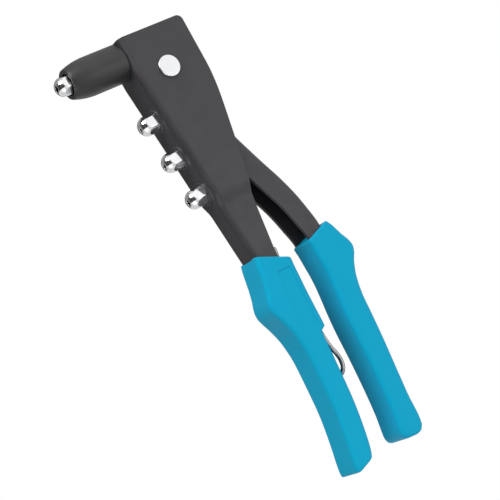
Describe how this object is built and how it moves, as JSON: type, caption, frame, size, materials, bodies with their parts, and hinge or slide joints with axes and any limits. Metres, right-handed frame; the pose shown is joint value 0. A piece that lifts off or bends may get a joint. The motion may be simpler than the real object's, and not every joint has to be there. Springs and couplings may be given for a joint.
{
  "type": "hand riveter",
  "caption": "Two-handled hand riveter for blind rivets, with folded steel frame and lever, nose housing, chrome nosepieces, inner jaw carriage and blue grips",
  "frame": {"origin": "the centre of the fitted nosepiece's mouth, on the nose's axis", "axes": "the nose points along -Y, the handles hang along -Z, and the tool's width runs along X with the pivot pin's head on +X"},
  "size_m": [0.0255, 0.1039, 0.2501],
  "materials": {
    "black_paint": "satin dark grey powder coat",
    "bare_steel": "turned and lightly oiled",
    "chrome_plate": "bright plated",
    "grip_plastic": "smooth moulded, satin"
  },
  "bodies": {
    "frame": {"frame_channel": "black_paint", "nose_housing": "black_paint", "threaded_bush": "bare_steel", "nosepiece_fitted": "chrome_plate", "nosepiece_spare_1": "chrome_plate", "nosepiece_spare_2": "chrome_plate", "nosepiece_spare_3": "chrome_plate", "pivot_pin": "chrome_plate", "pivot_clip": "bare_steel", "opening_spring": "bare_steel", "front_grip": "grip_plastic", "wire_pivot_pin": "bare_steel"},
    "lever": {"lever_channel": "black_paint", "pivot_bush": "bare_steel", "pivot_washers": "bare_steel", "drive_pins": "bare_steel", "rear_grip": "grip_plastic"},
    "carriage": {"jaw_case": "bare_steel", "crosshead": "bare_steel", "jaw_spring": "bare_steel"},
    "jaw_set": {"jaw_1": "bare_steel", "jaw_2": "bare_steel", "jaw_3": "bare_steel", "jaw_pusher": "bare_steel"},
    "wire": {"catch_wire": "chrome_plate"}
  },
  "joints": [
    {"name": "lever_pivot", "type": "hinge", "parent": "frame", "child": "lever", "pos_m": [0, 0.0569, -0.0135], "axis": [1, 0, 0], "range_deg": [0, 32], "deforming": ["opening_spring"]},
    {"name": "carriage_slide", "type": "slide", "parent": "frame", "child": "carriage", "axis": [0, -1, 0], "range_m": [0, 0.00775]},
    {"name": "jaw_release", "type": "slide", "parent": "carriage", "child": "jaw_set", "axis": [0, 1, 0], "range_m": [0, 0.00151], "deforming": ["jaw_spring"]},
    {"name": "wire_hinge", "type": "hinge", "parent": "frame", "child": "wire", "pos_m": [0, 0.0576, -0.136], "axis": [1, 0, 0], "range_deg": [-4.5, 0], "stiffness_Nm_per_rad": 0.05, "springref_deg": 6.88}
  ],
  "couplings": [
    {"joint": "carriage_slide", "follows": "lever_pivot", "m_per_rad": 0.013862},
    {"joint": "jaw_release", "follows": "lever_pivot", "m_per_rad": 0.002686}
  ]
}
